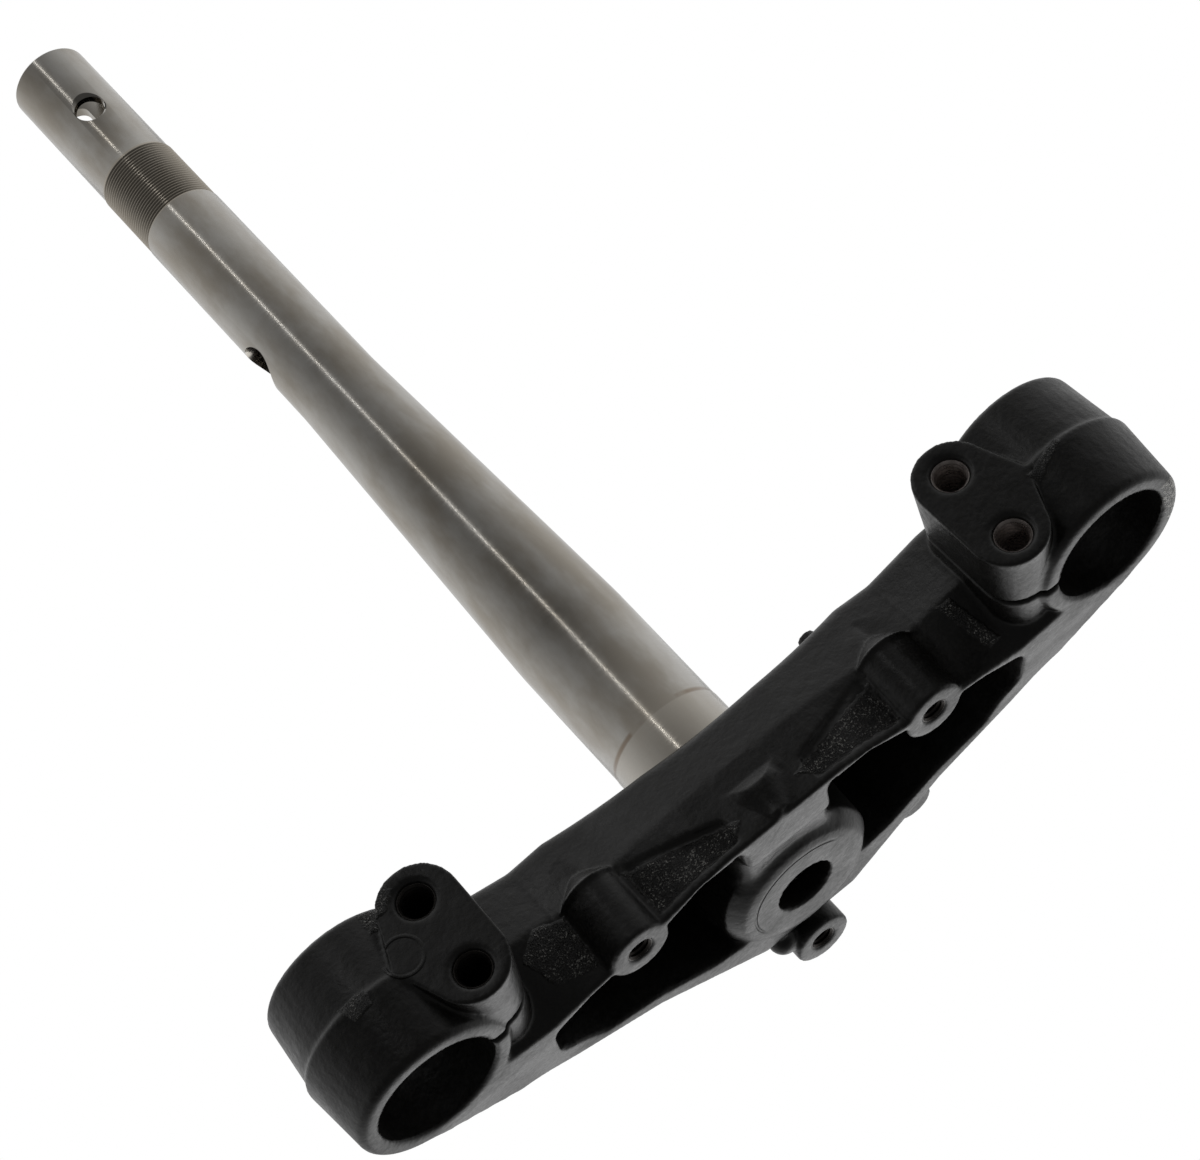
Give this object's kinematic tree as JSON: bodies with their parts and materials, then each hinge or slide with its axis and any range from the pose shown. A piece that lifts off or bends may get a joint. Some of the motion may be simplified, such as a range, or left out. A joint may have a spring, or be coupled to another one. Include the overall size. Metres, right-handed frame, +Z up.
{
  "type": "lower triple clamp with steering stem",
  "caption": "Cast lower fork yoke with split clamps for both fork tubes, underside pockets and bosses, and a long hollow steel steering stem with threaded upper end.",
  "frame": {"origin": "on the steering axis at the bearing shoulder, the yoke's upper face", "axes": "+Z up the steering stem, X across from fork tube to fork tube, -Y to the front of the vehicle"},
  "size_m": [0.2536, 0.1096, 0.3575],
  "materials": {
    "black_paint": "semi-gloss black paint over a rough casting",
    "ground_steel": "turned and ground, satin"
  },
  "bodies": {
    "root": {"lower_yoke": "black_paint", "steering_stem": "ground_steel"}
  },
  "joints": []
}
